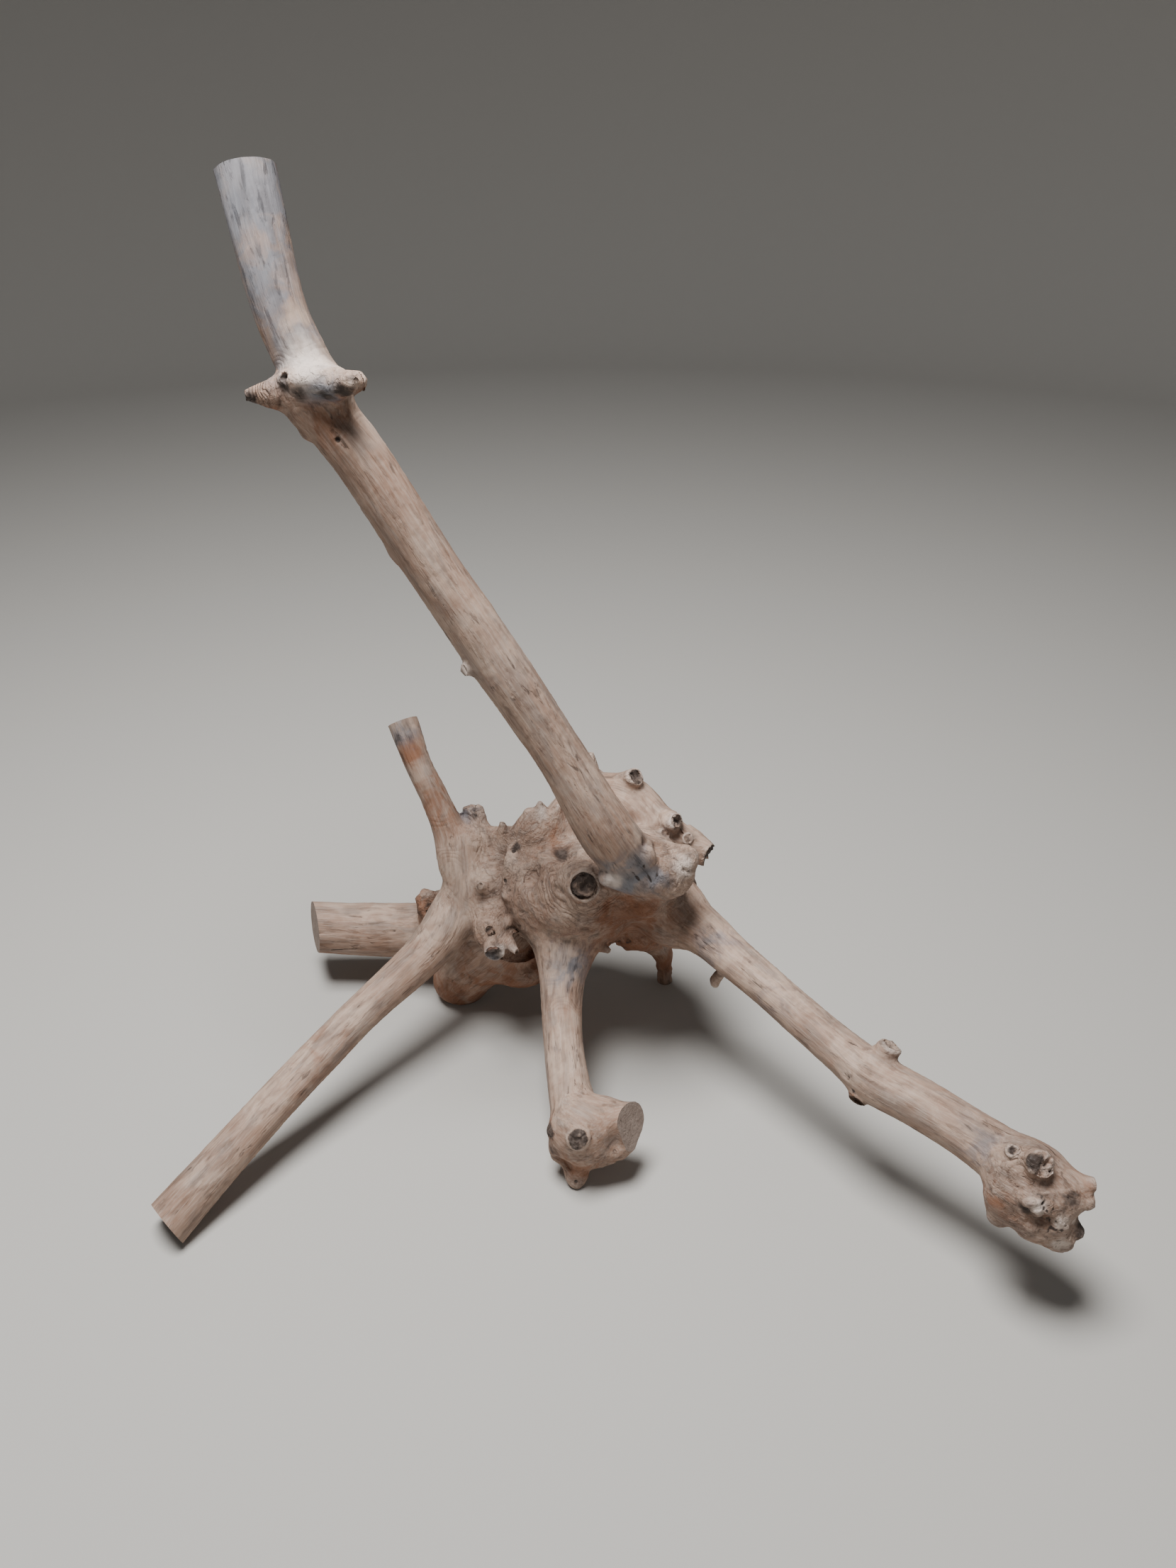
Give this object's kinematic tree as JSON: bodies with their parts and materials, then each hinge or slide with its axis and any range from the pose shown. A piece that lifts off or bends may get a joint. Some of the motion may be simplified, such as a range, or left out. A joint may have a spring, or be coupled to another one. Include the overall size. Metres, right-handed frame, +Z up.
{
  "type": "dry root",
  "caption": "Sandblasted dry root: a knotted root crown standing on cut limbs, with one long branch rising from it to a sawn end.",
  "frame": {"origin": "on the surface the root stands on, under the middle of its bounding box", "axes": "+Z up, +X towards the end of the right-hand limb, -Y towards the viewer and the ends of the two front limbs"},
  "size_m": [0.6298, 0.368, 0.6675],
  "materials": {
    "dry_wood": "dry bark-free sandblasted wood, matt, pale tan with grey flecks, dark knots and sawn ends"
  },
  "bodies": {
    "root": {"dry_root": "dry_wood"}
  },
  "joints": []
}
